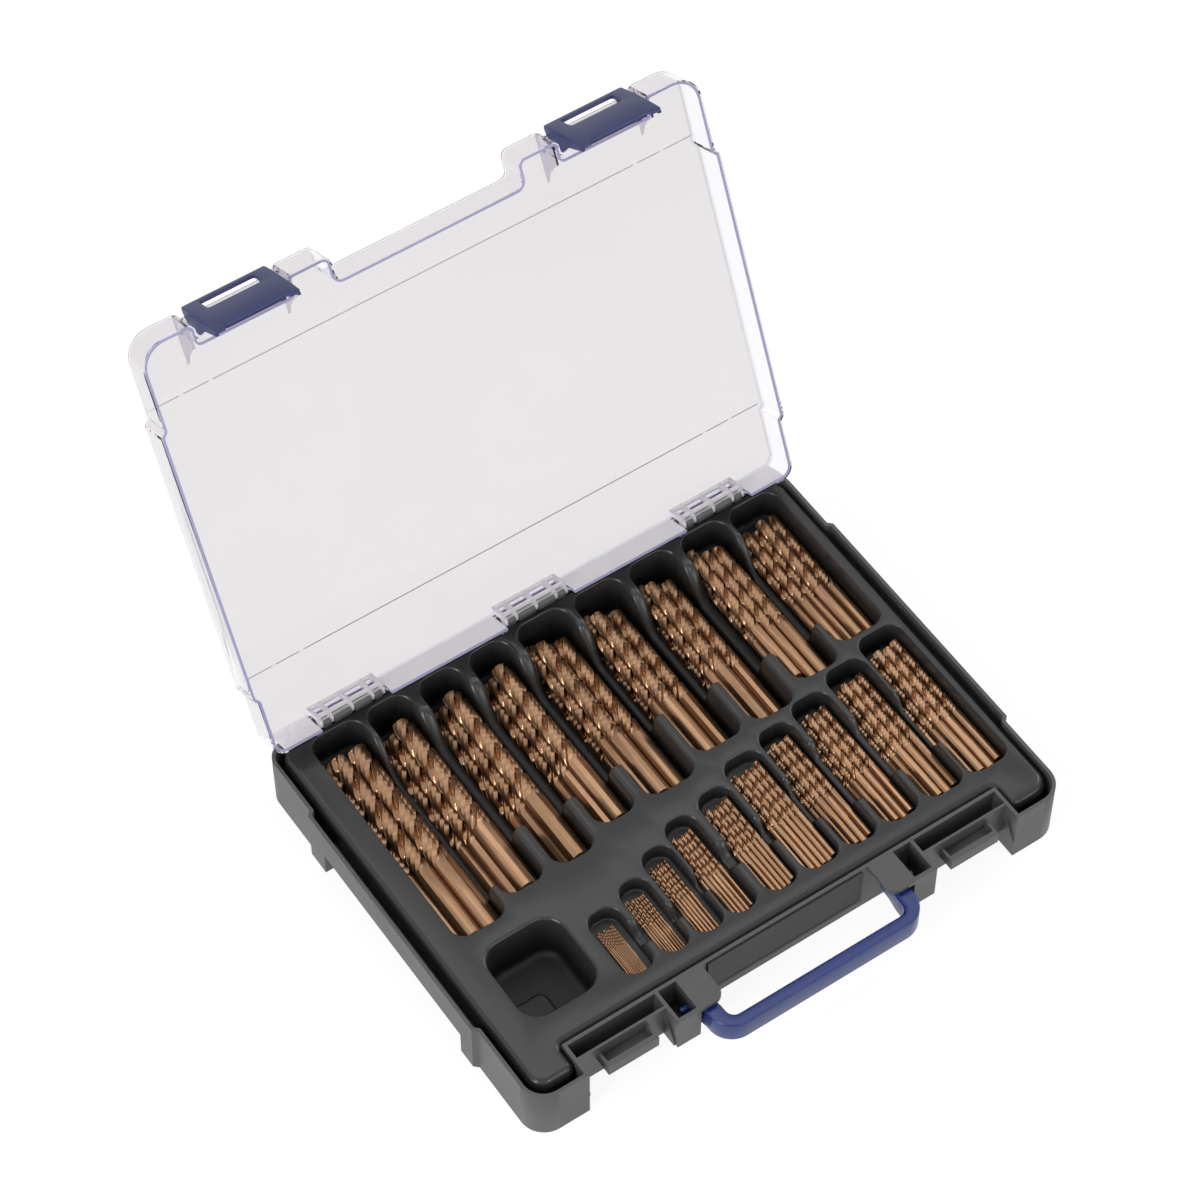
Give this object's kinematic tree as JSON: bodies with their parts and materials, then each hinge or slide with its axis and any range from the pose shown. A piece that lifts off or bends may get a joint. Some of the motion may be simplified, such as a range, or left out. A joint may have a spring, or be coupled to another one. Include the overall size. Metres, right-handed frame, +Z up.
{
  "type": "drill bit case",
  "caption": "Shallow lidded case with a pocketed tray of graded twist drill bits, a clear hinged lid standing open, snap latches and a folding handle.",
  "frame": {"origin": "centre of the flat underside of the base", "axes": "+Z up from the underside, -Y towards the handle, +X to the right as seen from the handle"},
  "size_m": [0.337, 0.3794, 0.2854],
  "materials": {
    "base_plastic": "fine moulded texture",
    "plate_plastic": "fine moulded texture",
    "tray_plastic": "satin, slightly glossy on the rounded edges",
    "clear_plastic": "clear and polished",
    "latch_plastic": "satin moulded",
    "handle_plastic": "satin moulded",
    "bit_metal": "bronze oxide, ground"
  },
  "bodies": {
    "base": {"base_shell": "base_plastic", "label_plate": "plate_plastic", "tray_insert": "tray_plastic", "bits_10_0": "bit_metal", "bits_9_5": "bit_metal", "bits_9_0": "bit_metal", "bits_8_5": "bit_metal", "bits_8_0": "bit_metal", "bits_7_5": "bit_metal", "bits_7_0": "bit_metal", "bits_6_5": "bit_metal", "bits_6_0": "bit_metal", "bits_5_5": "bit_metal", "bits_5_0": "bit_metal", "bits_4_5": "bit_metal", "bits_4_0": "bit_metal", "bits_3_5": "bit_metal", "bits_3_0": "bit_metal", "bits_2_5": "bit_metal", "bits_2_0": "bit_metal", "bits_1_5": "bit_metal", "bits_1_0": "bit_metal"},
    "lid": {"lid_shell": "clear_plastic"},
    "left_latch": {"latch_left": "latch_plastic"},
    "right_latch": {"latch_right": "latch_plastic"},
    "carry_handle": {"handle": "handle_plastic"}
  },
  "joints": [
    {"name": "lid_hinge", "type": "hinge", "parent": "base", "child": "lid", "pos_m": [0, 0.1215, 0.044], "axis": [1, 0, 0], "range_deg": [0, 114]},
    {"name": "left_latch_pivot", "type": "hinge", "parent": "lid", "child": "left_latch", "pos_m": [-0.1072, 0.2245, 0.26797], "axis": [1, 0, 0], "range_deg": [-70, 0]},
    {"name": "right_latch_pivot", "type": "hinge", "parent": "lid", "child": "right_latch", "pos_m": [0.1072, 0.2245, 0.26797], "axis": [1, 0, 0], "range_deg": [-70, 0]},
    {"name": "handle_pivot", "type": "hinge", "parent": "base", "child": "carry_handle", "pos_m": [0, -0.1185, 0.025], "axis": [1, 0, 0], "range_deg": [0, 45]}
  ]
}
